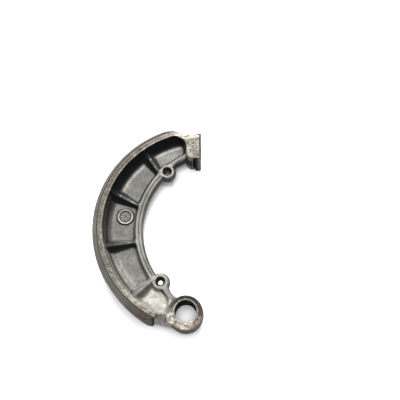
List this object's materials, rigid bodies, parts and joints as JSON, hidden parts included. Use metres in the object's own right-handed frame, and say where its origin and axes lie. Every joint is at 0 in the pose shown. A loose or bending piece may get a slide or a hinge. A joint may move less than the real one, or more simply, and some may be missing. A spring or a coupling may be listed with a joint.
{
  "type": "brake shoe",
  "caption": "Curved cast brake shoe for a drum brake, with a worn bonded lining, ribbed pockets, a pivot eye, spring holes and a steel plate on its cam end.",
  "frame": {"origin": "on the pivot bore's axis, in the plane of the shoe's lower side face", "axes": "+Z along the pivot bore, +X square to the face that the cam pushes, +Y from the pivot towards the cam end"},
  "size_m": [0.1018, 0.1901, 0.03],
  "materials": {
    "cast_body": "rough cast, stained dark",
    "lining": "worn friction composite",
    "plate_steel": "dull, heat-tinted"
  },
  "bodies": {
    "root": {"shoe_casting": "cast_body", "friction_lining": "lining", "cam_plate": "plate_steel"}
  },
  "joints": []
}
